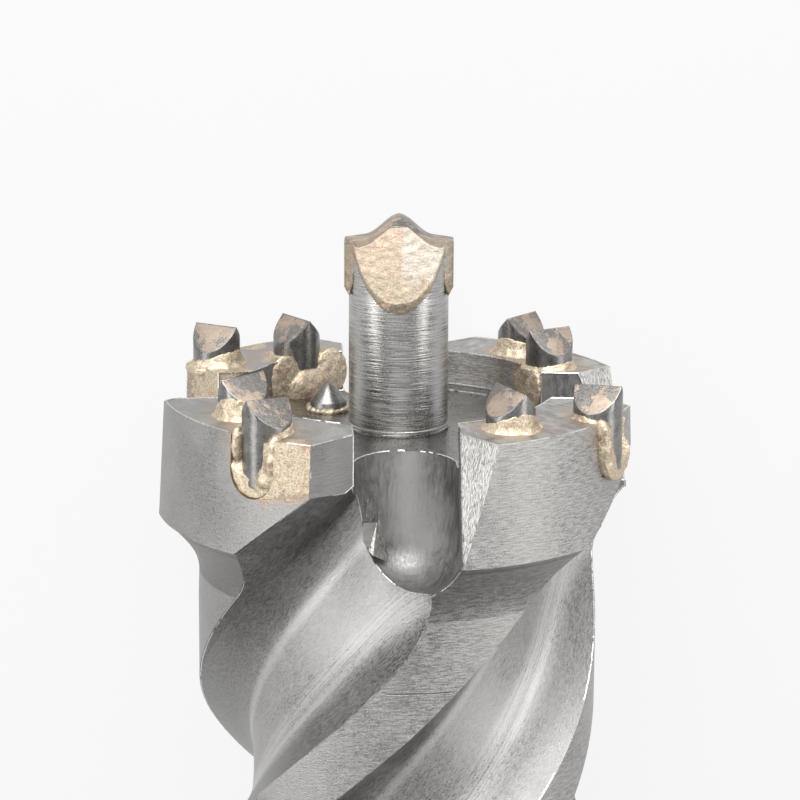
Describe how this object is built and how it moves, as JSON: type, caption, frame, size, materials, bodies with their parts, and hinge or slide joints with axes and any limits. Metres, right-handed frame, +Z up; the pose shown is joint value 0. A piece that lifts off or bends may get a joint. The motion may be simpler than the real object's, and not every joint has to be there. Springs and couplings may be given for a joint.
{
  "type": "core drill bit",
  "caption": "Hollow-crown rotary hammer bit with a centring pilot, brazed hard metal studs, a spiral body and a grooved plug-in shank.",
  "frame": {"origin": "under the middle of the lying bit, at the height of the crown's lowest corners", "axes": "+Y along the bit towards its pilot, +Z up, the pictured side of the crown upwards"},
  "size_m": [0.0777, 0.6, 0.0764],
  "materials": {
    "body_steel": "milled and sand-blasted steel, satin",
    "pilot_steel": "turned steel with fine rings",
    "hard_metal": "sintered hard metal, dark satin",
    "solder": "grainy cast braze, pale gold"
  },
  "bodies": {
    "root": {"spiral_crown_body": "body_steel", "pilot_shaft": "pilot_steel", "pilot_tip_plate": "hard_metal", "pilot_solder": "solder", "crown_stud_1": "hard_metal", "crown_stud_2": "hard_metal", "crown_stud_3": "hard_metal", "crown_stud_4": "hard_metal", "crown_stud_5": "hard_metal", "crown_stud_6": "hard_metal", "crown_stud_7": "hard_metal", "crown_stud_8": "hard_metal", "stud_solder_1": "solder", "stud_solder_2": "solder", "stud_solder_3": "solder", "stud_solder_4": "solder", "stud_solder_5": "solder", "stud_solder_6": "solder", "stud_solder_7": "solder", "stud_solder_8": "solder", "core_stud": "hard_metal", "core_stud_solder": "solder"}
  },
  "joints": []
}
